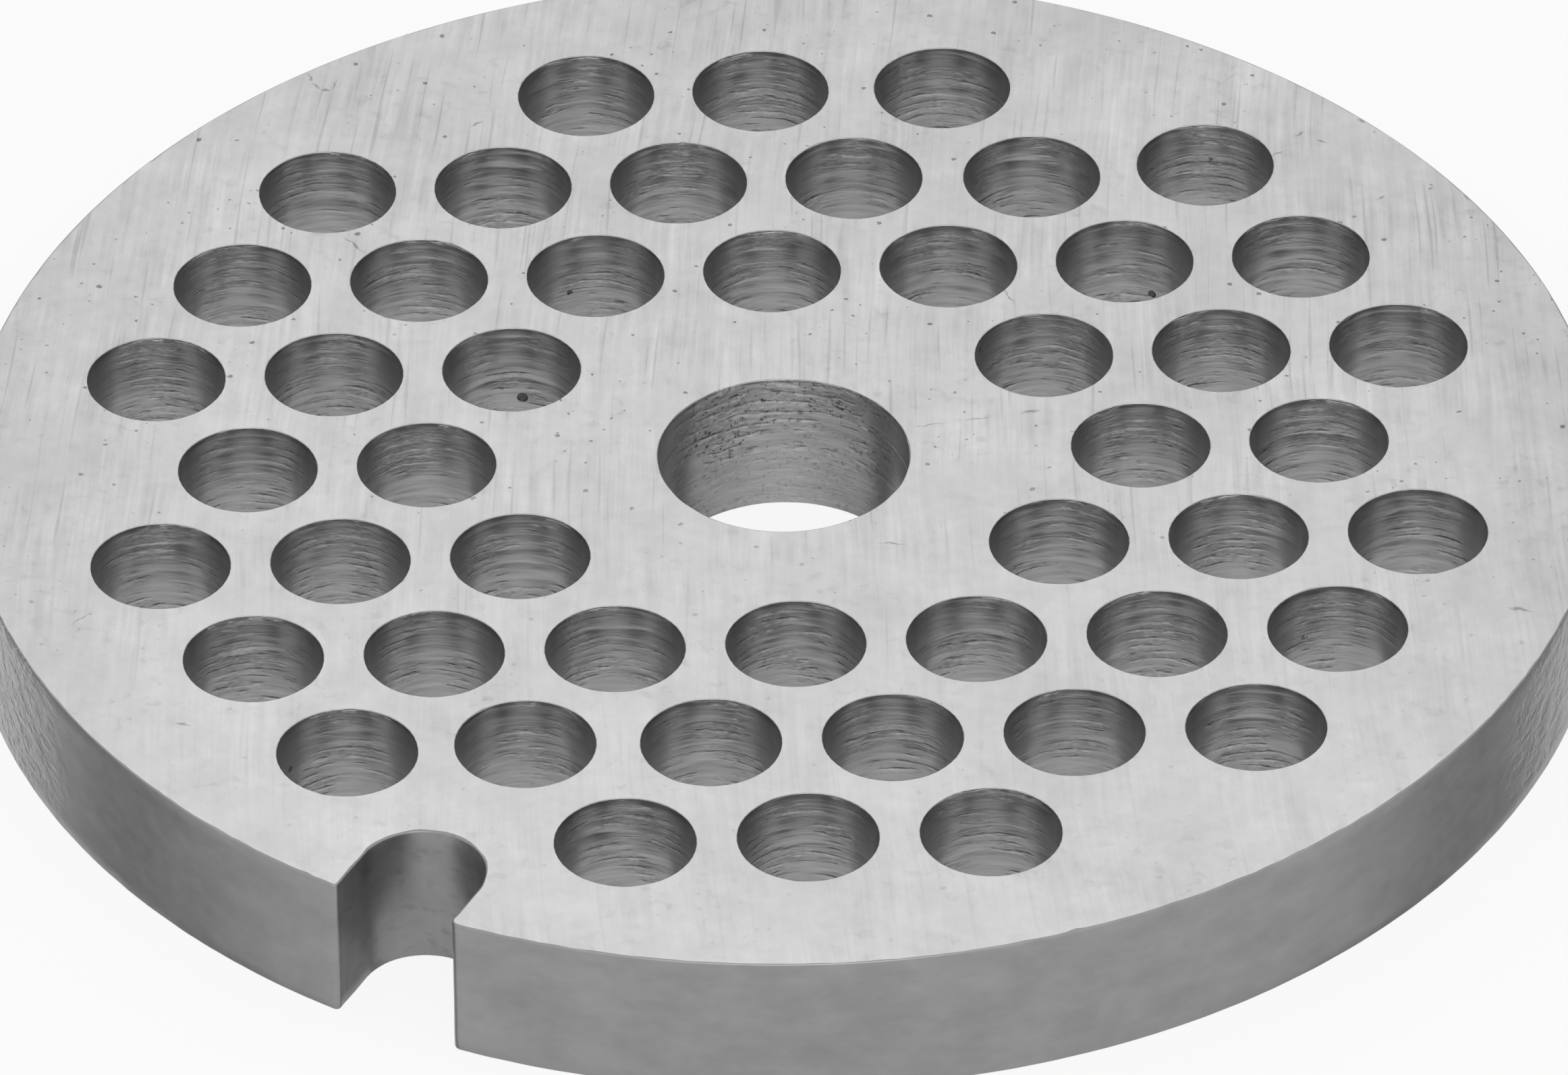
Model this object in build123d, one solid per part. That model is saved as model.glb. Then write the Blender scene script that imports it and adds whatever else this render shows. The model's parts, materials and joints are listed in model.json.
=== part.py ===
from build123d import *
import math
import os

# Perforated plate of a size 22 meat grinder: one ground steel disc.
# All sizes are in millimetres.
# The plate lies on its back face at z = 0, its bore runs up Z through the origin,
# and its key slot opens towards -Y.

# Disc
plate_diameter = 82.5
plate_thickness = 7.85
rim_edge_break = 0.1  # flat left where grinding took the sharp edge off the rim

# Bore that the stud of the feed screw turns in
bore_diameter = 12.7

# Field of mincing holes on a triangular grid, one column of it along the Y axis
hole_diameter = 7.0
hole_pitch = 9.0
hub_diameter = 24.0  # solid ring that the knife's hub turns on
field_diameter = 72.0  # no hole reaches outside it, so the rim stays a plain seat
hole_drift = {  # holes whose drill walked, by column and place up it in pitches
    (-1, 3.5): (0.4, 0.05),
    (0, 3): (0.25, -0.2),
    (1, 3.5): (-0.1, 0.3),
    (0, -3): (-0.3, 0.15),
}

# Slot in the rim for the pin that stops the plate turning
key_slot_width = 6.3
key_slot_depth = 6.3  # from the rim to the middle of the slot's round end

# Worked out from the sizes above
plate_radius = plate_diameter / 2
column_spacing = hole_pitch * math.sqrt(3) / 2
least_hole_reach = (hub_diameter + hole_diameter) / 2
most_hole_reach = (field_diameter - hole_diameter) / 2


def grid_places():
    """Column and place up it, in pitches, of each grid point between hub and rim seat."""
    columns = math.ceil(most_hole_reach / column_spacing)
    rows = math.ceil(most_hole_reach / hole_pitch)
    for column in range(-columns, columns + 1):
        for row in range(-rows, rows + 1):
            place = row + (column % 2) / 2
            reach = math.hypot(column * column_spacing, place * hole_pitch)
            if least_hole_reach <= reach <= most_hole_reach:
                yield column, place


def hole_centres():
    """Where each mincing hole was really drilled."""
    for column, place in grid_places():
        drift_x, drift_y = hole_drift.get((column, place), (0, 0))
        yield column * column_spacing + drift_x, place * hole_pitch + drift_y


def disc():
    """The turned blank, with both rim edges just broken."""
    blank = Cylinder(plate_radius, plate_thickness, align=(Align.CENTER, Align.CENTER, Align.MIN))
    return chamfer(blank.edges().filter_by(GeomType.CIRCLE), rim_edge_break)


def through_profile():
    """Outline of everything cut straight through the disc, drawn on its back face."""
    bore = Circle(bore_diameter / 2)
    holes = [Location((x, y)) * Circle(hole_diameter / 2) for x, y in hole_centres()]
    return Sketch() + [bore, *holes, key_slot_outline()]


def key_slot_outline():
    """A slot with a round inner end, open at the rim."""
    end_radius = key_slot_width / 2
    end_centre_y = -plate_radius + key_slot_depth - end_radius
    mouth_y = -plate_radius - end_radius
    straight = Rectangle(key_slot_width, end_centre_y - mouth_y, align=(Align.CENTER, Align.MAX))
    round_end = Circle(end_radius)
    return Location((0, end_centre_y)) * (straight + round_end)


def plate():
    body = disc() - extrude(through_profile(), amount=plate_thickness)
    body.label = "plate"
    return body


os.makedirs("parts", exist_ok=True)
export_step(plate(), "parts/plate.step")
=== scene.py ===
import json
import math
import random

import bmesh
import bpy
from mathutils import Matrix, Vector, noise


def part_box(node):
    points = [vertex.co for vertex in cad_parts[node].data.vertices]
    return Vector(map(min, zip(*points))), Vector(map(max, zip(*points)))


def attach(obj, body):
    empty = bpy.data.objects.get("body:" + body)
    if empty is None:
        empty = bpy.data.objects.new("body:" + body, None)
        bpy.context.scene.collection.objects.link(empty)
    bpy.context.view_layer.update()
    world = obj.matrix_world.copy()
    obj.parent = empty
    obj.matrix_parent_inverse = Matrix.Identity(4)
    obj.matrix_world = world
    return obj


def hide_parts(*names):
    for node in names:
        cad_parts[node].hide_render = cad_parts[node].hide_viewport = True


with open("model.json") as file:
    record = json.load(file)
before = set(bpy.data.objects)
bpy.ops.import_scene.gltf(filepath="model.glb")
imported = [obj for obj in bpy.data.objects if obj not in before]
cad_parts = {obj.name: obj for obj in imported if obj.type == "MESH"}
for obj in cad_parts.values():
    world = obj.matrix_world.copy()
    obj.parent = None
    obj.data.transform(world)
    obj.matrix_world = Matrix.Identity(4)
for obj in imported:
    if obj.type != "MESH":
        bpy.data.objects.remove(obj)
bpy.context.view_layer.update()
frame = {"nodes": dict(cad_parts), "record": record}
cadPlate = frame["nodes"]["plate"]
mounts = {mount["name"]: mount["dims"] for mount in frame["record"]["mounts"]}
mm = 0.001  # the frame is in metres, and the sizes below are in millimetres
touching = 1e-7  # m, what is nearer than this is in the same place
slotStart = 1  # mm, how far in from the rim the slot's own points begin


def faceOutlines(node, height):
    # every closed line round the node's flat face at that height
    mesh = bmesh.new()
    mesh.from_mesh(node.data)
    bmesh.ops.remove_doubles(mesh, verts=mesh.verts, dist=touching)
    flat = {face for face in mesh.faces if all(abs(vert.co.z - height) < touching for vert in face.verts)}
    neighbours = {}
    for edge in mesh.edges:
        if sum(face in flat for face in edge.link_faces) == 1:
            for here, there in (edge.verts, reversed(edge.verts)):
                neighbours.setdefault(here, []).append(there)
    outlines, walked = [], set()
    for vert in neighbours:
        outline = []
        while vert and vert not in walked:
            walked.add(vert)
            outline.append(vert.co.xy / mm)
            vert = next((near for near in neighbours[vert] if near not in walked), None)
        if outline:
            outlines.append(outline)
    mesh.free()
    return outlines


def circleThrough(outline):
    centre = sum(outline, Vector((0, 0))) / len(outline)
    return centre, sum((point - centre).length for point in outline) / len(outline)


# the frame's own plate gives every place and size
backHeight, faceHeight = (corner.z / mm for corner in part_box("plate"))
thickness = faceHeight - backHeight
outlines = sorted(faceOutlines(cadPlate, faceHeight * mm), key=lambda outline: circleThrough(outline)[1])
*holeCircles, boreCircle = [circleThrough(outline) for outline in outlines[:-1]]
holeCircles.sort(key=lambda circle: (round(circle[0].x, 1), circle[0].y))
rimRadius = mounts["rim"]["r_mm"]
slotOutline = [point for point in outlines[-1] if point.length < rimRadius - slotStart]
slotHalfWidth = max(abs(point.x) for point in slotOutline)
slotEndCentre = Vector((0, max(point.y for point in slotOutline) - slotHalfWidth))
print(f"outline: {len(holeCircles)} holes, bore {boreCircle[1]:.2f} mm, rim {rimRadius:.2f} mm")


plateValues = {
    "holeSegments": 44,
    "boreSegments": 132,
    "rimSegments": 480,
    "rimRows": 12,
    "slotEndSegments": 30,
    "slotSideSegments": 6,
    "mouthSegments": 6,
    "mouthRadii": (0.45, 0.25),  # mm, where the slot meets the rim at +X and at -X
    "cornerAngle": 0.4,  # radians, where a wall turns by more it keeps a sharp corner
    "holeEdge": 0.045,  # mm, how far each edge is broken
    "boreEdge": 0.06,
    "rimEdge": 0.1,
    "slotEdge": 0.12,
    "edgeWander": 0.7,  # how much the broken edges swell and thin, as a share of their size
    "nickGrowth": 6,  # how much further they are broken at a nick
    "nickRarity": 0.5,  # the higher, the fewer they are
    "nickTightness": 0.7,  # 1/mm, how close together the nicks may be
    "wallWander": 0.012,  # mm, how far the walls stray from their outline
    "wanderTightness": 0.9,  # 1/mm, how short the waves in walls and edges are
    "scoresPerHole": 9,
    "boreScores": 16,
    "scorePlace": (0.3, 0.7),  # where a score lies in the height that it shares out
    "scoreWidth": (0.05, 0.1),  # mm, half of it
    "scoreCut": (0.004, 0.016),  # mm deep
    "scoreLeast": 0.2,  # how much of a score is left where it fades
    "scoreSwell": 1.6,  # how much it deepens between such places
    "scoreBias": 0.2,  # the higher, the less of its way round it fades
    "scoreTightness": 1.3,  # how often it fades on that way
    "scoreLean": 0.25,  # mm, how far it climbs across the hole
    "leanTightness": 1.8,  # how often it turns between climbing and sinking
    "tornTurn": 120,  # degrees, the way that the most torn walls face
    "tornLeast": 0.3,  # how deep the scores are in the least torn walls, as a share
    "seed": 22,
}

finishOrder = ["groundFace", "turnedRim", "drilledWall", "boredWall", "milledSlot"]  # the plate's materials
edgeShape = [(0, 1), (0.3, 0.29), (1, 0)]  # how deep and how far in a broken edge's rows are
scoreShape = [(-1, -0.35), (0, 1), (1.3, 0)]  # how far down a score's rows are, and how deep their cut


def arc(centre, radius, start, end, count, side, finish):
    # points from one angle to another, where side is -1 if the metal is outside the arc
    profile = []
    for step in range(count + 1):
        angle = start + (end - start) * step / count
        away = Vector((math.cos(angle), math.sin(angle)))
        profile.append((centre + away * radius, away * side, finish))
    return profile


def ring(centre, radius, count, finish):
    # points of a round wall, each with the way out of the metal
    return arc(centre, radius, 0, math.tau, count, -1, finish)[:-1]


def slotSide(side, start, end, count):
    # points between the two ends of one straight side of the slot, where side is -1 at -X
    profile = []
    for step in range(1, count):
        height = start + (end - start) * step / count
        profile.append((Vector((side * slotHalfWidth, height)), Vector((-side, 0)), "milledSlot"))
    return profile


def rimAndSlot(values):
    # one closed line: round the rim from one corner of the slot to the other, then through the slot
    corners = []
    for side, radius in zip((1, -1), values["mouthRadii"]):
        inward = math.sqrt((rimRadius - radius) ** 2 - (slotHalfWidth + radius) ** 2)
        corners.append((Vector((side * (slotHalfWidth + radius), -inward)), radius))
    (right, rightRadius), (left, leftRadius) = corners
    start, end = math.atan2(right.y, right.x), math.atan2(left.y, left.x) + math.tau
    mouthSteps, sideSteps = values["mouthSegments"], values["slotSideSegments"]
    profile = arc(Vector((0, 0)), rimRadius, start, end, values["rimSegments"], 1, "turnedRim")
    profile += arc(left, leftRadius, end - math.tau, 0, mouthSteps, 1, "turnedRim")[1:]
    profile += slotSide(-1, left.y, slotEndCentre.y, sideSteps)
    profile += arc(slotEndCentre, slotHalfWidth, math.pi, 0, values["slotEndSegments"], -1, "milledSlot")
    profile += slotSide(1, slotEndCentre.y, right.y, sideSteps)
    profile += arc(right, rightRadius, -math.pi, start, mouthSteps, 1, "turnedRim")[:-1]
    return profile


def wallRows(edge, middle):
    # a wall's rows from the face to the back, with a broken edge above and below the middle ones
    above = [{"depth": depth * edge, "inset": inset * edge} for depth, inset in edgeShape]
    below = [{**row, "depth": thickness - row["depth"]} for row in reversed(above)]
    return above + middle + below


def plainRows(edge, count):
    height = thickness - 2 * edge
    return wallRows(edge, [{"depth": edge + height * step / count, "inset": 0} for step in range(1, count)])


def scoredRows(edge, scores, chance, values):
    # three rows for each score that the drill left: above it, in it and below it
    rows = []
    gap = (thickness - 2 * edge) / scores
    for index in range(scores):
        width = chance.uniform(*values["scoreWidth"])
        depth = edge + gap * (index + chance.uniform(*values["scorePlace"]))
        shift = chance.uniform(0, 40)  # a noise of its own for each score
        cut = chance.uniform(*values["scoreCut"])
        for offset, share in scoreShape:
            rows.append({"depth": depth + offset * width, "inset": 0, "cut": cut * share, "shift": shift})
    return wallRows(edge, rows)


def brokenMore(place, values):
    # how many times its usual size a broken edge has, as it wanders and is nicked here and there
    wander = values["edgeWander"] * noise.noise(place * values["wanderTightness"])
    apart = Vector((9, 0, 0))  # far enough for another noise
    nick = noise.noise(place * values["nickTightness"] + apart) - values["nickRarity"]
    return 1 + wander + values["nickGrowth"] * max(0, nick)


def scoreAt(out, row, values):
    # how deep a score is cut into the wall that faces that way, and how far it has climbed there
    turn = math.radians(values["tornTurn"])
    torn = abs(out.x * math.cos(turn) + out.y * math.sin(turn))
    facing = values["tornLeast"] + (1 - values["tornLeast"]) * torn
    around, apart = Vector((out.x, out.y, row["shift"])), Vector((out.x, out.y, row["shift"] + 50))
    swell = max(0, noise.noise(around * values["scoreTightness"]) + values["scoreBias"])
    climb = values["scoreLean"] * noise.noise(apart * values["leanTightness"])
    return facing * row["cut"] * (values["scoreLeast"] + values["scoreSwell"] * swell), climb


def wallPoint(point, out, finish, row, values):
    inset, depth = row["inset"], row["depth"]
    place = Vector((point.x, point.y, depth))
    if inset or depth in (0, thickness):  # on a broken edge
        growth = brokenMore(place, values)
        if finish == "milledSlot":
            growth *= values["slotEdge"] / values["rimEdge"]
        inset *= growth
    else:
        inset += values["wallWander"] * noise.noise(place * values["wanderTightness"])
    if "cut" in row:
        cut, climb = scoreAt(out, row, values)
        inset += cut
        depth += climb
    x, y = point - out * inset
    return Vector((x, y, faceHeight - depth)) * mm


def addWall(mesh, profile, rows, values):
    # the wall as a grid of quads, and the two rows of edges that bound the flat faces
    grid = []
    for row in rows:
        grid.append([mesh.verts.new(wallPoint(*spot, row, values)) for spot in profile])
    points = [point for point, out, finish in profile]
    materials = [finishOrder.index(finish) for point, out, finish in profile]
    for upper, lower in zip(grid, grid[1:]):
        for index, material in enumerate(materials):
            after = (index + 1) % len(materials)
            face = mesh.faces.new((upper[index], upper[after], lower[after], lower[index]))
            face.material_index = material
            face.smooth = True
    for index, point in enumerate(points):
        onward, before = points[(index + 1) % len(points)] - point, point - points[index - 1]
        if onward.angle(before) > values["cornerAngle"]:
            for upper, lower in zip(grid, grid[1:]):
                mesh.edges.get((upper[index], lower[index])).smooth = False
    bounds = []
    for row in (grid[0], grid[-1]):
        bounds.append([mesh.edges.get((row[index - 1], row[index])) for index in range(len(row))])
    return bounds


def newObject(mesh, name):
    # the finished mesh as an object in the scene
    data = bpy.data.meshes.new(name)
    mesh.to_mesh(data)
    mesh.free()
    made = bpy.data.objects.new(name, data)
    bpy.context.scene.collection.objects.link(made)
    return made


def buildPlate(values):
    mesh = bmesh.new()
    chance = random.Random(values["seed"])
    walls = [(rimAndSlot(values), plainRows(values["rimEdge"], values["rimRows"]))]
    boreRows = scoredRows(values["boreEdge"], values["boreScores"], chance, values)
    walls.append((ring(*boreCircle, values["boreSegments"], "boredWall"), boreRows))
    for circle in holeCircles:
        holeRows = scoredRows(values["holeEdge"], values["scoresPerHole"], chance, values)
        walls.append((ring(*circle, values["holeSegments"], "drilledWall"), holeRows))
    bounds = [addWall(mesh, profile, rows, values) for profile, rows in walls]
    for side in range(2):  # the flat faces, which are ground: material 0
        edges = [edge for bound in bounds for edge in bound[side]]
        bmesh.ops.triangle_fill(mesh, edges=edges, use_beauty=True, normal=(0, 0, 1))
    bmesh.ops.recalc_face_normals(mesh, faces=mesh.faces)
    return newObject(mesh, "mincingPlate")


plate = buildPlate(plateValues)
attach(plate, "root")
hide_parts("plate")
print(f"plate: {sum(len(face.vertices) - 2 for face in plate.data.polygons)} triangles")


class Wire:
    # a socket that can be used in sums, and the one place that new nodes come from
    def __init__(self, tree, socket=None):
        self.tree, self.socket = tree, socket

    def node(self, kind, settings=None, sockets=None):
        made = self.tree.nodes.new(kind)
        for name, setting in (settings or {}).items():
            setattr(made, name, setting)
        for name, value in (sockets or {}).items():
            if isinstance(value, Wire):
                self.tree.links.new(value.socket, made.inputs[name])
            else:
                made.inputs[name].default_value = value
        return Wire(self.tree, made.outputs[0] if made.outputs else None)

    def pick(self, name):
        return Wire(self.tree, self.socket.node.outputs[name])

    def maths(self, operation, first, second=0.0):
        return self.node("ShaderNodeMath", {"operation": operation}, {0: first, 1: second})

    def vector(self, operation, *sockets):
        return self.node("ShaderNodeVectorMath", {"operation": operation}, dict(enumerate(sockets)))

    def __add__(self, other):
        return self.maths("ADD", self, other)

    def __radd__(self, other):
        return self.maths("ADD", other, self)

    def __sub__(self, other):
        return self.maths("SUBTRACT", self, other)

    def __rsub__(self, other):
        return self.maths("SUBTRACT", other, self)

    def __mul__(self, other):
        return self.maths("MULTIPLY", self, other)

    def __rmul__(self, other):
        return self.maths("MULTIPLY", other, self)

    def __abs__(self):
        return self.maths("ABSOLUTE", self)

    def largest(self, other):
        return self.maths("MAXIMUM", self, other)

    def past(self):
        # how far past a whole number
        return self.maths("FRACT", self)

    def rise(self, low, high):
        # 0 below low, 1 above high, and a soft step between
        return self.node("ShaderNodeMapRange", {"interpolation_type": "SMOOTHSTEP"},
                         {"Value": self, "From Min": low, "From Max": high})

    def between(self, start, full, fading, end):
        # 1 from full to fading, and 0 before start and after end
        return self.rise(start, full) * (1 - self.rise(fading, end))

    def atLeast(self, least):
        # what runs from 0 to 1 as it is, made to run from least to 1
        return least + (1 - least) * self

    def parts(self):
        split = self.node("ShaderNodeSeparateXYZ", None, {0: self})
        return split.pick("X"), split.pick("Y"), split.pick("Z")

    def blend(self, dark, pale):
        # a colour between two, picked by this value
        mix = self.node("ShaderNodeMix", {"data_type": "RGBA"}, {0: self, 6: (*dark, 1), 7: (*pale, 1)})
        return mix.pick(2)

    def grain(self, detail=2, kind="3D"):
        return self.node("ShaderNodeTexNoise", {"noise_dimensions": kind},
                         {"Vector": self, "Scale": 1, "Detail": detail})

    def stretched(self, scale, turn=0, shift=(0, 0, 0)):
        # places measured in units of scale, along axes turned about Z; a shift gives a noise of its own
        sockets = {"Vector": self, "Location": shift, "Rotation": (0, 0, math.radians(turn)), "Scale": scale}
        return self.node("ShaderNodeMapping", {"vector_type": "TEXTURE"}, sockets)

    def swayed(self, amount, size):
        # places pushed about in soft waves of that size
        push = self.stretched((size, size, size)).grain(1).pick("Color")
        push = push.vector("SUBTRACT", push, (0.5, 0.5, 0.5))
        return push.vector("MULTIPLY_ADD", push, (amount, amount, amount), self)

    def spot(self, middle, reach, turn=0, core=0.6):
        # 1 in the core of a round or long spot, and 0 outside its reach
        away = self.stretched(reach, turn, middle)
        return 1 - away.vector("LENGTH", away).pick("Value").rise(core, 1)

    def pits(self, spacing, radius, share, kind="2D"):
        # 1 in small round pits, one in that share of cells of that spacing
        cells = self.node("ShaderNodeTexVoronoi", {"voronoi_dimensions": kind},
                          {"Vector": self, "Scale": 1 / spacing})
        number, size = cells.pick("Color").parts()[:2]
        edge = cells.pick("Distance") * spacing - radius * size
        picked = number.rise(1 - share, 1.001 - share)  # all or nothing
        return (1 - edge.rise(0, 0.3 * radius)) * picked


def emptyTree(owner):
    owner.use_nodes = True
    owner.node_tree.nodes.clear()
    return Wire(owner.node_tree)


def newFinish(name):
    # an empty material, and the places on the object in millimetres
    material = bpy.data.materials.new(name)
    start = emptyTree(material)
    metres = start.node("ShaderNodeTexCoord").pick("Object")
    place = start.node("ShaderNodeVectorMath", {"operation": "SCALE"}, {0: metres, "Scale": 1 / mm})
    return material, place


def polish(place, colour, roughness, height, bumpDepth, smear=0):
    # steel with that colour, roughness and relief; marks round a wall smear its reflections up and down
    bump = place.node("ShaderNodeBump", None, {"Height": height, "Distance": bumpDepth * mm, "Strength": 1.0})
    sockets = {"Base Color": colour, "Roughness": roughness, "Normal": bump, "Metallic": 1.0,
               "Anisotropic": smear, "Anisotropic Rotation": 0.25}
    shader = place.node("ShaderNodeBsdfPrincipled", None, sockets)
    place.node("ShaderNodeOutputMaterial", None, {"Surface": shader})


groundValues = {
    "dark": (0.12, 0.12, 0.12),
    "pale": (0.9, 0.9, 0.9),
    "level": 0.6,  # where the bare face lies between them
    "grindTurn": 117.5,  # degrees, the way the grinding lines run through the middle
    "bow": 0.0011,  # 1/mm, how much they bend
    "fan": 0.0015,  # 1/mm, how much they spread
    "sway": 0.9,  # mm, how far they stray
    "swaySize": (15, 15, 15),  # mm, how long the waves are that they stray in
    "lines": [  # mm long, mm wide, and how strong
        (1.6, 0.08, 0.03),
        (5, 0.2, 0.11),
        (9, 0.5, 0.17),
        (20, 1.8, 0.14),
    ],
    "wornSize": (5, 5, 5),  # mm
    "wornRise": (0.3, 0.7),  # which part of this noise is free of wear
    "wornAway": 0.3,  # how much of the lines is left where the face is worn
    "wornSwell": 1.1,  # how much more of them there is elsewhere
    "clouds": [(9, 0.14), (2.4, 0.13), (0.7, 0.08)],  # mm across, and how strong
    "paintedShadeTilt": 0.0012,  # 1/mm, painted shade: how much darker it gets the way the lines run
    "paintedRimShade": 0.07,  # painted shade: how much darker the face is beside the rim, across the lines
    "paintedRimShadePlace": (27, 41),  # mm from the middle
    "scoreSize": (11, 0.3, 1),  # mm long and wide, the deeper scores between the lines
    "scoreRise": (0.66, 0.8),
    "scoreFall": 0.12,  # how much darker each kind of mark is
    "pitFall": 0.36,
    "smudgeFall": 0.1,
    "scratchFall": 0.35,
    "calmLines": (0.55, -26, 6),  # the share left near the slot, and from where to where it grows, in mm
    "calmScores": (0.3, -20, 5),
    "calmPits": (0.25, -22, 6),
    "pits": [  # mm apart, mm of radius at most, and the share that is there
        (3.4, 0.13, 0.6),
        (1.1, 0.08, 0.35),  # only in crowds
    ],
    "pitSway": (0.22, 0.14),  # mm, how far and in what waves their outlines stray
    "crowdSize": (7, 7, 7),  # mm
    "crowdRise": (0.45, 0.6),
    "smudgeSize": (0.9, 0.8, 1),  # mm
    "smudgeSway": (0.9, 0.6),
    "smudgeRise": (0.55, 0.85),
    "smudgeLeast": 0.3,  # how much of them is left outside the crowds
    "roughness": 0.36,
    "pitRoughness": 0.2,
    "bumpDepth": 0.002,  # mm
    "scratchSways": [(0.35, 0.5), (0.08, 0.12)],  # mm, how far and in what waves they stray
    "scratches": [  # mm, from one place to another on the face, and half the width
        (-37.1, 17.7, -36.5, 17.0, 0.08),
        (-36.5, 17.0, -35.8, 16.6, 0.1),
        (-35.8, 16.6, -35.3, 16.9, 0.1),
        (-35.3, 16.9, -35.5, 17.8, 0.07),
        (-27.5, 17.3, -27.0, 18.1, 0.09),
        (-28.7, 6.1, -26.9, 5.2, 0.08),
        (4.6, 5.0, 6.2, 6.3, 0.07),
        (6.6, 6.7, 7.9, 7.6, 0.09),
        (9.0, 8.6, 9.8, 9.3, 0.16),
        (7.5, -4.3, 9.1, -3.7, 0.08),
        (10.6, 36.0, 10.9, 36.8, 0.08),
        (11.8, 36.4, 12.5, 36.3, 0.08),
        (10.3, 33.9, 10.8, 34.8, 0.07),
        (-16.6, -33.4, -15.6, -33.1, 0.12),
        (37.8, 5.4, 39.3, 5.8, 0.16),
        (-25.0, -28.9, -24.6, -27.3, 0.06),
        (3.1, 17.9, 4.6, 16.5, 0.06),
        (12.9, 39.1, 13.3, 38.8, 0.24),
        (17.6, 37.3, 19.3, 36.5, 0.14),
        (20.0, 36.0, 21.5, 35.2, 0.16),
        (16.8, 33.1, 17.1, 33.7, 0.11),
        (18.8, 35.3, 19.0, 35.3, 0.2),
        (16.4, 31.2, 16.6, 31.3, 0.2),
    ],
}


def scratch(place, values):
    startX, startY, endX, endY, width = values
    length = math.hypot(endX - startX, endY - startY)
    turn = math.degrees(math.atan2(endY - startY, endX - startX))
    middle = ((startX + endX) / 2, (startY + endY) / 2, faceHeight)
    reach = (0.6 * length, 1.1 * width, 1)  # longer and wider than it looks, as it tapers off
    return place.spot(middle, reach, turn, 0)


def calm(along, values):
    # less near the slot, and all of it further along the lines
    least, low, high = values
    return along.rise(low, high).atLeast(least)


def groundFinish(values):
    material, place = newFinish("groundSteel")
    along, across = place.stretched((1, 1, 1), values["grindTurn"]).parts()[:2]
    sway = place.stretched(values["swaySize"]).grain(1, "2D") - 0.5
    line = across * (1 + values["fan"] * along) + values["bow"] * along * along + values["sway"] * sway
    lined = place.node("ShaderNodeCombineXYZ", None, {"X": along, "Y": line})
    unworn = place.stretched(values["wornSize"], 0, (4, 9, 0)).grain(2, "2D").rise(*values["wornRise"])
    unworn = (values["wornAway"] + values["wornSwell"] * unworn) * calm(along, values["calmLines"])
    tone, height = values["level"], 0
    for length, width, strength in values["lines"]:
        layer = unworn * (lined.stretched((length, width, 1), 0, (length, width, 0)).grain(2, "2D") - 0.5)
        tone = tone + strength * layer
        height = height + layer
    for size, strength in values["clouds"]:
        tone = tone + strength * (place.stretched((size, size, size), 0, (size, 2, 0)).grain(3, "2D") - 0.5)
    scores = lined.stretched(values["scoreSize"], 0, (2, 5, 0)).grain(1, "2D").rise(*values["scoreRise"])
    scores = scores * calm(along, values["calmScores"])
    # painted shade: the face darkens beside the rim at either side
    edge = abs(across).rise(*values["paintedRimShadePlace"])
    ragged = place.swayed(*values["pitSway"])
    crowd = place.stretched(values["crowdSize"], 0, (8, 3, 0)).grain(2, "2D").rise(*values["crowdRise"])
    strewn, crowded = (ragged.pits(*pits) for pits in values["pits"])
    pits = strewn.largest(crowded * crowd) * calm(along, values["calmPits"])
    smudges = place.swayed(*values["smudgeSway"]).stretched(values["smudgeSize"], 0, (3, 7, 0)).grain(2, "2D")
    smudges = smudges.rise(*values["smudgeRise"]) * crowd.atLeast(values["smudgeLeast"])
    wavy, scratches = place, 0
    for waves in values["scratchSways"]:
        wavy = wavy.swayed(*waves)
    for ends in values["scratches"]:
        scratches = scratch(wavy, ends).largest(scratches)
    tone = tone - values["scoreFall"] * scores - values["paintedRimShade"] * edge - values["pitFall"] * pits
    # painted shade: the face gets darker the way the lines run
    tone = tone - values["scratchFall"] * scratches - values["paintedShadeTilt"] * along - values["smudgeFall"] * smudges
    roughness = values["roughness"] + values["pitRoughness"] * pits
    polish(place, tone.blend(values["dark"], values["pale"]), roughness, height, values["bumpDepth"])
    return material


rimValues = {
    "dark": (0.17, 0.17, 0.17),
    "pale": (0.45, 0.45, 0.45),
    "pocked": [  # mm, the middle of where it is pocked like orange peel, how far about, and how much
        (-31, -27, 14, 1),
        (41, 4, 7, 0.5),
    ],
    "pockedCore": 0.35,  # the share of that reach where it is pocked in full
    "mottleSize": (0.9, 0.9, 0.6),  # mm about and up
    "lineSize": (5, 5, 0.12),
    "cloudSize": (3, 3, 1.6),
    "peelSize": (1.1, 1.1, 0.5),
    "peelSway": (0.6, 0.5),
    "peelRise": (0.3, 0.65),
    "mottle": 0.2,  # how strong each layer is in the tone
    "lines": 0.06,
    "cloud": 0.4,
    "peel": 0.3,
    "lineDepth": 0.2,  # how deep, beside the mottle
    "peelDepth": 16,
    "roughness": 0.36,
    "uneven": 0.1,  # how much the roughness varies
    "bumpDepth": 0.004,  # mm
}


def turnedFinish(values):
    material, place = newFinish("turnedSteel")
    mottle = place.stretched(values["mottleSize"]).grain(2)
    lines = place.stretched(values["lineSize"]).grain(2)
    cloud = place.stretched(values["cloudSize"]).grain(3)
    peel = place.swayed(*values["peelSway"]).stretched(values["peelSize"]).grain(2)
    pocked = 0
    for x, y, reach, strength in values["pocked"]:
        middle = (x, y, thickness / 2)
        pocked = pocked + strength * place.spot(middle, (reach, reach, reach), 0, values["pockedCore"])
    tone = 0.5 + values["mottle"] * (mottle - 0.5) + values["lines"] * (lines - 0.5)
    tone = tone + values["cloud"] * (cloud - 0.5) + values["peel"] * pocked * (peel - 0.5)
    roughness = values["roughness"] + values["uneven"] * (mottle - 0.5)
    height = mottle + values["lineDepth"] * lines
    height = height + values["peelDepth"] * pocked * peel.rise(*values["peelRise"])
    polish(place, tone.blend(values["dark"], values["pale"]), roughness, height, values["bumpDepth"])
    return material


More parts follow.
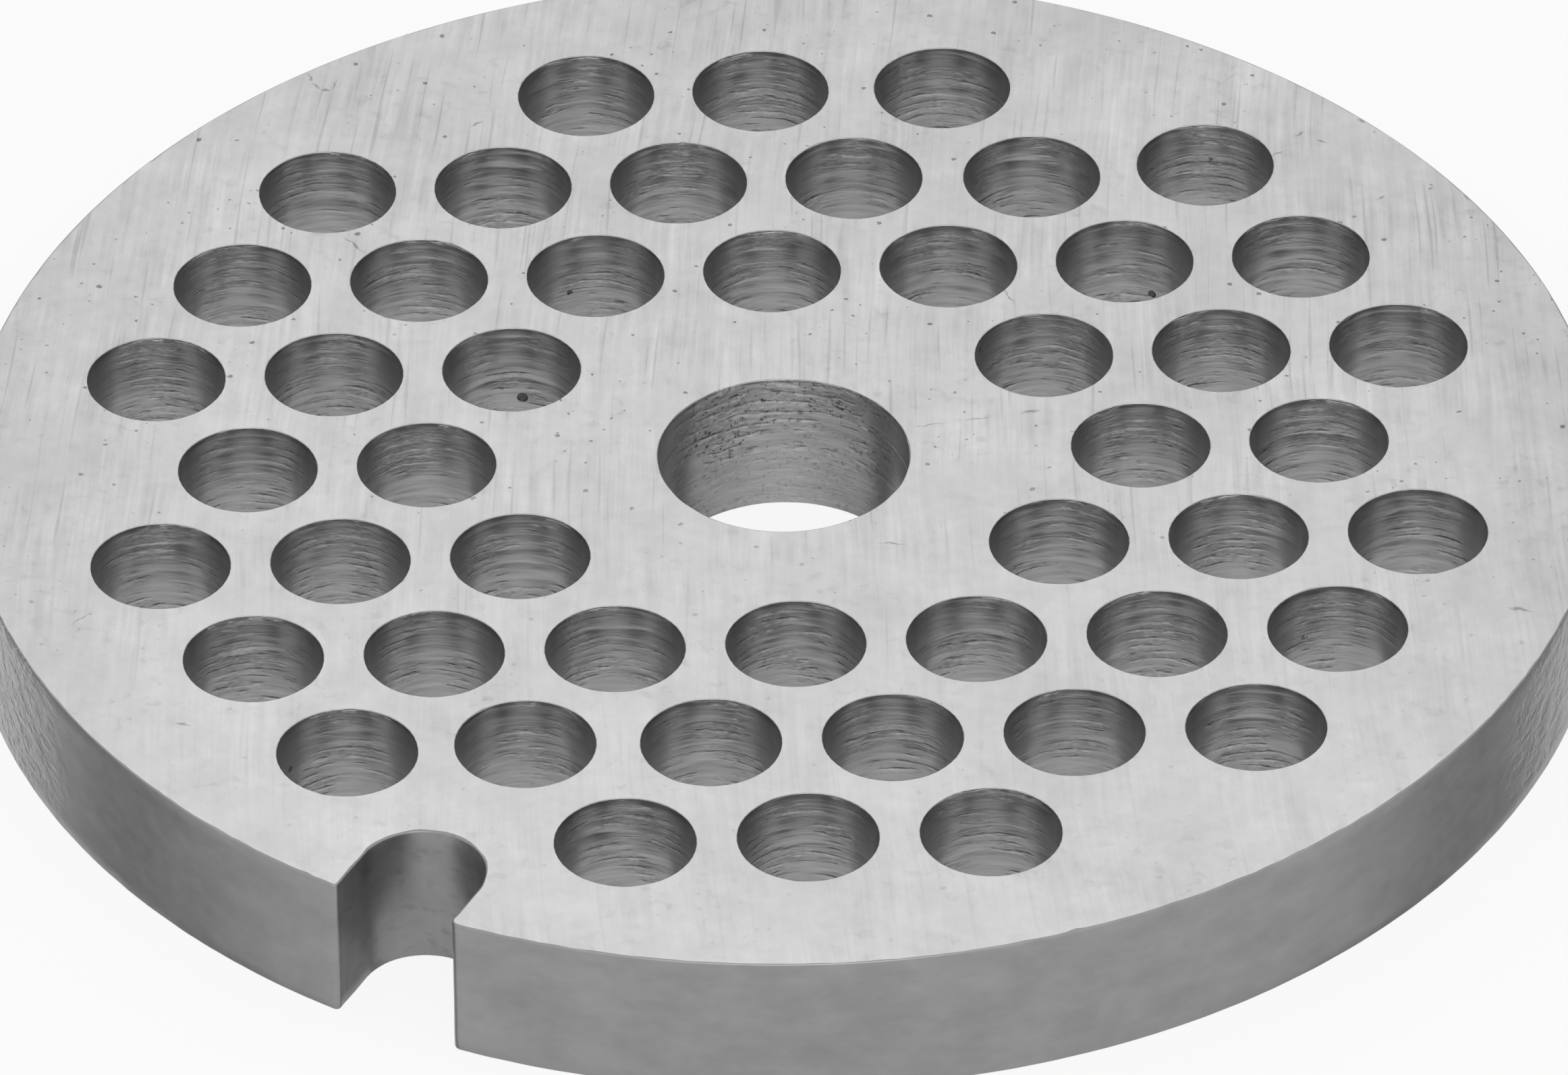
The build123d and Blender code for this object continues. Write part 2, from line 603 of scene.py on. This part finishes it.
drilledValues = {
    "dark": (0.1, 0.1, 0.1),
    "pale": (0.74, 0.74, 0.74),
    "level": 0.48,  # where the bare wall lies between them
    "feed": 0.45,  # mm, how far apart the drill's rings are
    "stray": (2.6, 1.1),  # mm, how long and high the waves in them are
    "ragged": 1.3,  # how far they stray in those waves, in rings
    "facingRise": (0.3, 0.95),  # how far the walls have to face the torn way, as a cosine
    "facingLeast": 0.15,  # how torn the others are, as a share
    "crest": (0.3, 0.7, 0.7, 0.88),  # where in a ring its crest and its gash rise and fall
    "gash": (0.8, 0.9, 0.93, 1.0),
    "smoothBelow": (0.2, 3.0),  # mm above the back, where the tearing fades
    "smoothLeast": 0.3,  # how much of it is left there
    "patchSize": (2.6, 2.6, 1.2),  # mm about and up
    "patches": (0.42, 0.62),  # which part of this noise is torn, so lower is more
    "ringedSize": (0.8, 0.8, 0.25),
    "ringedRise": (0.4, 0.6),  # which part of this noise the rings show in
    "bandSize": (2.4, 2.4, 0.26),
    "hairSize": (1.8, 1.8, 0.06),
    "crumbSize": (0.32, 0.32, 0.12),
    "layers": {  # how much paler each makes the wall, and how far it stands out
        "bands": (0.45, 0.9),
        "hair": (0.12, 0.14),
        "crumbs": (0.6, 0.8),
        "crests": (0.25, 0.7),
        "gashes": (-0.35, -0.7),
        "chips": (-0.6, -3),
    },
    "pits": (2.2, 0.2, 0.12),  # mm apart, mm of radius at most, and the share that is there
    "crowdedPits": None,  # the same, in torn steel
    "pitSway": (0.42, 0.16),  # mm, how far and in what waves their outlines stray
    "pitFall": 0.35,  # how much darker they are
    "paintedSideShade": 0.06,  # painted shade: how much darker the wall is where it faces across the tearing way
    "paintedSideShadePlace": (0, 0.6),  # how far across, as a sine
    "paintedEndHighlight": 0.45,  # painted highlight: how much paler it is where it faces right across
    "paintedEndHighlightPlace": (0.84, 1),
    "chips": [  # mm, where a chip was torn out, and half its width
        (7.6, 26.0, 3.4, 0.24),
        (-18.3, 11.2, 4.4, 0.16),
        (-16.8, 3.3, 3.5, 0.32),
    ],
    "roughness": 0.28,
    "tornRoughness": 0.1,  # how much rougher the torn steel is
    "smear": 0.3,  # how far the drill's marks draw reflections out
    "bumpDepth": 0.02,
}
boredValues = {
    **drilledValues,
    "feed": 0.6,
    "ragged": 2.0,
    "smoothBelow": (2.2, 4.8),
    "patches": (0.3, 0.5),
    # painted side shade, stronger here, and painted end highlight, weaker here
    "paintedSideShade": 0.17,
    "paintedEndHighlight": 0.1,
    "crowdedPits": (0.24, 0.1, 0.5),
    "chips": [(-5.8, 2.8, 5.4, 0.14), (-6.1, 2.0, 5.0, 0.12)],
}


def drilledFinish(name, values):
    # a wall torn round and round by the cutting edge, less so where it breaks out at the back
    material, place = newFinish(name)
    up = place.parts()[2]
    outX, outY = place.node("ShaderNodeTexCoord").pick("Normal").parts()[:2]
    turn = math.radians(plateValues["tornTurn"])
    facing = abs(outX * math.cos(turn) + outY * math.sin(turn)).rise(*values["facingRise"])
    sideways = abs(outX * math.sin(turn) - outY * math.cos(turn))
    high = up.rise(*values["smoothBelow"]).atLeast(values["smoothLeast"])
    length, rise = values["stray"]
    waves = place.stretched((length, length, rise)).grain(4)
    withinRing = (up * (1 / values["feed"]) + values["ragged"] * waves).past()
    patch = place.stretched(values["patchSize"]).grain(2).rise(*values["patches"])
    torn = patch * high * facing.atLeast(values["facingLeast"])
    ringed = torn * place.stretched(values["ringedSize"]).grain(2).rise(*values["ringedRise"])
    bands = place.stretched(values["bandSize"]).grain(2) - 0.5
    chips = 0
    for x, y, z, reach in values["chips"]:
        chips = chips + place.spot((x, y, z), (reach, reach, reach))
    layers = {
        "bands": bands * (facing * high).atLeast(values["facingLeast"]),
        "hair": place.stretched(values["hairSize"]).grain(2) - 0.5,
        "crumbs": torn * (place.stretched(values["crumbSize"]).grain(2) - 0.5),
        "crests": ringed * withinRing.between(*values["crest"]),
        "gashes": ringed * withinRing.between(*values["gash"]),
        "chips": chips,
    }
    tone, height = values["level"], 0
    for kind, layer in layers.items():
        paler, higher = values["layers"][kind]
        tone = tone + paler * layer
        height = height + higher * layer
    ragged = place.swayed(*values["pitSway"])
    pits = ragged.pits(*values["pits"], "3D")
    if values["crowdedPits"]:
        crowd = ragged.pits(*values["crowdedPits"], "3D") * torn
        pits, height = pits.largest(crowd), height - crowd
    tone = tone - values["pitFall"] * pits
    # painted shade on the walls that face across the tearing way
    tone = tone - values["paintedSideShade"] * sideways.rise(*values["paintedSideShadePlace"])
    # painted highlight where the walls face right across the tearing way
    tone = tone + values["paintedEndHighlight"] * sideways.rise(*values["paintedEndHighlightPlace"])
    colour = tone.blend(values["dark"], values["pale"])
    roughness = values["roughness"] + values["tornRoughness"] * torn
    polish(place, colour, roughness, height, values["bumpDepth"], values["smear"])
    return material


milledValues = {
    "dark": (0.16, 0.16, 0.16),
    "pale": (0.42, 0.42, 0.42),
    "markSize": (0.4, 0.4, 9),  # mm about and up
    "cloudSize": (1.3, 1.3, 1.0),
    "smudgeSize": (0.8, 0.8, 0.45),
    "smudgeSway": (0.6, 0.7),
    "smudgeRise": (0.55, 0.7),
    "marks": 0.12,  # how strong each layer is in the tone
    "cloud": 0.4,
    "smudge": 0.15,
    "roughness": 0.38,
    "uneven": 0.1,
    "bumpDepth": 0.006,
}


def milledFinish(values):
    # an end mill leaves upright marks
    material, place = newFinish("milledSteel")
    marks = place.stretched(values["markSize"]).grain(2)
    cloud = place.stretched(values["cloudSize"]).grain(3)
    smudge = place.swayed(*values["smudgeSway"]).stretched(values["smudgeSize"]).grain(2)
    smudge = smudge.rise(*values["smudgeRise"])
    tone = 0.5 + values["marks"] * (marks - 0.5) + values["cloud"] * (cloud - 0.5) - values["smudge"] * smudge
    roughness = values["roughness"] + values["uneven"] * (cloud - 0.5)
    polish(place, tone.blend(values["dark"], values["pale"]), roughness, marks + cloud, values["bumpDepth"])
    return material


finishes = {
    "groundFace": groundFinish(groundValues),
    "turnedRim": turnedFinish(rimValues),
    "drilledWall": drilledFinish("drilledSteel", drilledValues),
    "boredWall": drilledFinish("boredSteel", boredValues),
    "milledSlot": milledFinish(milledValues),
}
for name in finishOrder:
    plate.data.materials.append(finishes[name])
print("finishes: " + ", ".join(finishOrder))


studioTurn = 31  # degrees round from +Y to the back of the studio
floorValues = {
    "colour": (0.8, 0.8, 0.8),
    "whiteness": 0.88,  # share of plain white in what the camera sees, the rest is lit and shaded
    "clearness": 0.66,  # share of the background below that reflections see through it
    "halfWidth": 8,  # m
    "squares": 8,  # along each side
}
worldValues = {
    "background": 1.0,  # how bright it is where it is seen
    "light": 0.8,  # and how bright as a light
    "sideFall": 0.87,  # how much of the background the dark sides of the studio take from reflections
    "sidePlace": 0.32,  # how far behind the middle those sides are, as a cosine
    "sideSkew": 0.02,  # how much further back the right one is
    "sideReach": 0.42,  # how far they reach to either side of there, as a cosine
    "sideTop": (0, 0.5),  # where they fade out above the horizon, as a sine
    "sideEnds": (0.2, 0.6),  # where they fade out overhead and underfoot, as a cosine
    "backGlow": 0.5,  # how much brighter the background is low down behind
    "glowPlace": (0.5, 0.9),  # how far behind, as a cosine
    "glowTop": (-0.35, -0.05),  # where it fades out below the horizon, as a sine
}
lampValues = {
    "back": {"place": (-0.2, 0.5, 0.52), "width": 0.2, "power": 0.12},  # m, m and W
    "front": {"place": (0, -0.5, 0.5), "width": 0.25, "power": 0.5},
}


def rayKinds(start):
    # whether it is seen straight, and whether mirrored or through something clear
    path = start.node("ShaderNodeLightPath")
    return path.pick("Is Camera Ray"), path.pick("Is Glossy Ray").largest(path.pick("Is Transmission Ray"))


def layFloor(values):
    mesh = bmesh.new()
    squares = values["squares"]
    bmesh.ops.create_grid(mesh, x_segments=squares, y_segments=squares, size=values["halfWidth"])
    floor = newObject(mesh, "floor")
    material = bpy.data.materials.new("paleFloor")
    start = emptyTree(material)
    straight, mirrored = rayKinds(start)
    lit = start.node("ShaderNodeBsdfDiffuse", None, {"Color": (*values["colour"], 1)})
    white = start.node("ShaderNodeEmission", None, {"Strength": 1.0})
    clear = start.node("ShaderNodeBsdfTransparent")
    seen = start.node("ShaderNodeMixShader", None, {0: straight * values["whiteness"], 1: lit, 2: white})
    shown = start.node("ShaderNodeMixShader", None, {0: mirrored * values["clearness"], 1: seen, 2: clear})
    start.node("ShaderNodeOutputMaterial", None, {"Surface": shown})
    material.cycles.emission_sampling = "NONE"
    floor.data.materials.append(material)


def lightWorld(values):
    world = bpy.data.worlds.new("studio")
    start = emptyTree(world)
    straight, mirrored = rayKinds(start)
    way = start.node("ShaderNodeTexCoord").pick("Generated")
    turned = start.node("ShaderNodeMapping", {"vector_type": "TEXTURE"},
                        {"Vector": way, "Rotation": (0, 0, math.radians(studioTurn))})
    up = turned.parts()[2]
    level = turned.vector("MULTIPLY", turned, (1, 1, 0))
    right, back = level.vector("NORMALIZE", level).parts()[:2]
    offSide = back - values["sidePlace"] - values["sideSkew"] * right
    side = 1 - (offSide * offSide).rise(0.0, values["sideReach"] ** 2)
    side = side * level.vector("LENGTH", level).pick("Value").rise(*values["sideEnds"])
    side = side * (1 - up.rise(*values["sideTop"]))
    glow = back.rise(*values["glowPlace"]) * (1 - up.rise(*values["glowTop"]))
    strength = values["light"] + straight.largest(mirrored) * (values["background"] - values["light"])
    strength = strength * (1 - mirrored * side * values["sideFall"] + mirrored * glow * values["backGlow"])
    background = start.node("ShaderNodeBackground", None, {"Color": (1, 1, 1, 1), "Strength": strength})
    start.node("ShaderNodeOutputWorld", None, {"Surface": background})
    world.cycles.sampling_method = "NONE"
    bpy.context.scene.world = world


def hangLamp(name, values):
    lamp = bpy.data.lights.new(name, "AREA")
    lamp.shape = "SQUARE"
    lamp.size = values["width"]
    lamp.energy = values["power"]
    holder = bpy.data.objects.new(name, lamp)
    bpy.context.scene.collection.objects.link(holder)
    holder.location = Matrix.Rotation(math.radians(studioTurn), 3, "Z") @ Vector(values["place"])
    holder.rotation_euler = holder.location.to_track_quat("Z", "Y").to_euler()
    holder.visible_camera = False


layFloor(floorValues)
lightWorld(worldValues)
for name, values in lampValues.items():
    hangLamp(name, values)
print("studio: floor, world and " + ", ".join(lampValues))


cameraValues = {
    "azimuth": 28.023,  # degrees round from looking along +Y
    "elevation": 37.33,
    "roll": -0.384,
    "distance": 1022.93,  # mm, from the middle of the plate's face
    "aside": (-0.0081, 4.1624),  # mm, how far right and up that middle is from the line of sight
    "lens": 466.24,  # mm
    "sensor": 36,  # mm
    "clip": (0.01, 100),  # m
}


def placeCamera(values):
    azimuth, elevation, roll = (math.radians(values[name]) for name in ("azimuth", "elevation", "roll"))
    flat = math.cos(elevation)
    back = Vector((math.sin(azimuth) * flat, -math.cos(azimuth) * flat, math.sin(elevation)))
    level = Vector((math.cos(azimuth), math.sin(azimuth), 0))
    upright = back.cross(level)
    right = level * math.cos(roll) + upright * math.sin(roll)
    up = upright * math.cos(roll) - level * math.sin(roll)
    middle = Vector((0, 0, faceHeight))
    place = middle + back * values["distance"] - right * values["aside"][0] - up * values["aside"][1]
    lens = bpy.data.cameras.new("camera")
    lens.sensor_fit = "HORIZONTAL"
    lens.sensor_width = values["sensor"]
    lens.lens = values["lens"]
    lens.clip_start, lens.clip_end = values["clip"]
    camera = bpy.data.objects.new("camera", lens)
    camera.matrix_world = Matrix.Translation(place * mm) @ Matrix((right, up, back)).transposed().to_4x4()
    bpy.context.scene.collection.objects.link(camera)
    bpy.context.scene.camera = camera


placeCamera(cameraValues)
bpy.context.scene.view_settings.view_transform = "Standard"
print("camera: placed")
